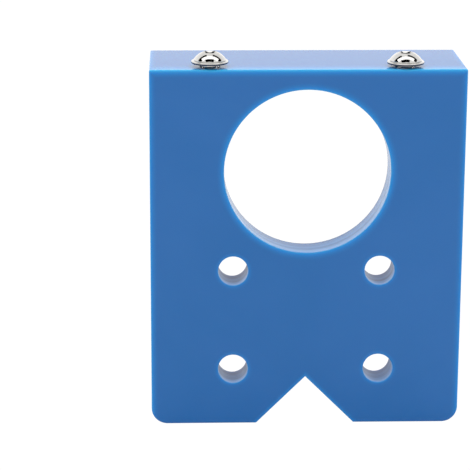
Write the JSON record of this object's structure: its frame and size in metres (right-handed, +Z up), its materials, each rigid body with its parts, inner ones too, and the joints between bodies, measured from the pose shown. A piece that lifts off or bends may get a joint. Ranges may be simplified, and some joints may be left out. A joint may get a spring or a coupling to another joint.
{
  "type": "hinge drilling jig",
  "caption": "L-shaped plastic drilling guide for concealed hinges, with a large cutter hole, small guide holes, a V notch and adjusting screws in its top face.",
  "frame": {"origin": "on the floor below the middle of the jig's width and depth, where its feet stand", "axes": "+X to the right as the user faces the plate, +Y from the plate back over the board, +Z up towards the lip and the screws"},
  "size_m": [0.068, 0.024, 0.0829],
  "materials": {
    "blue_plastic": "satin, slightly translucent moulded plastic",
    "polished_screw": "bright nickel plate",
    "polished_washer": "bright nickel plate"
  },
  "bodies": {
    "block": {"guide_block": "blue_plastic"},
    "left_washer": {"left_washer": "polished_washer"},
    "left_screw": {"left_screw": "polished_screw"},
    "right_washer": {"right_washer": "polished_washer"},
    "right_screw": {"right_screw": "polished_screw"}
  },
  "joints": [
    {"name": "left_screw_travel", "type": "slide", "parent": "block", "child": "left_washer", "axis": [0, 0, 1], "range_m": [-0.0008, 0.0052]},
    {"name": "left_screw_turn", "type": "hinge", "parent": "left_washer", "child": "left_screw", "pos_m": [-0.021, -0.008, 0.0797], "axis": [0, 0, 1], "range_deg": [-412, 2676]},
    {"name": "right_screw_travel", "type": "slide", "parent": "block", "child": "right_washer", "axis": [0, 0, 1], "range_m": [-0.0006, 0.0054]},
    {"name": "right_screw_turn", "type": "hinge", "parent": "right_washer", "child": "right_screw", "pos_m": [0.021, -0.008, 0.0797], "axis": [0, 0, 1], "range_deg": [-309, 2779]}
  ],
  "couplings": [
    {"joint": "left_screw_turn", "follows": "left_screw_travel", "rad_per_m": 8976},
    {"joint": "right_screw_turn", "follows": "right_screw_travel", "rad_per_m": 8976}
  ]
}
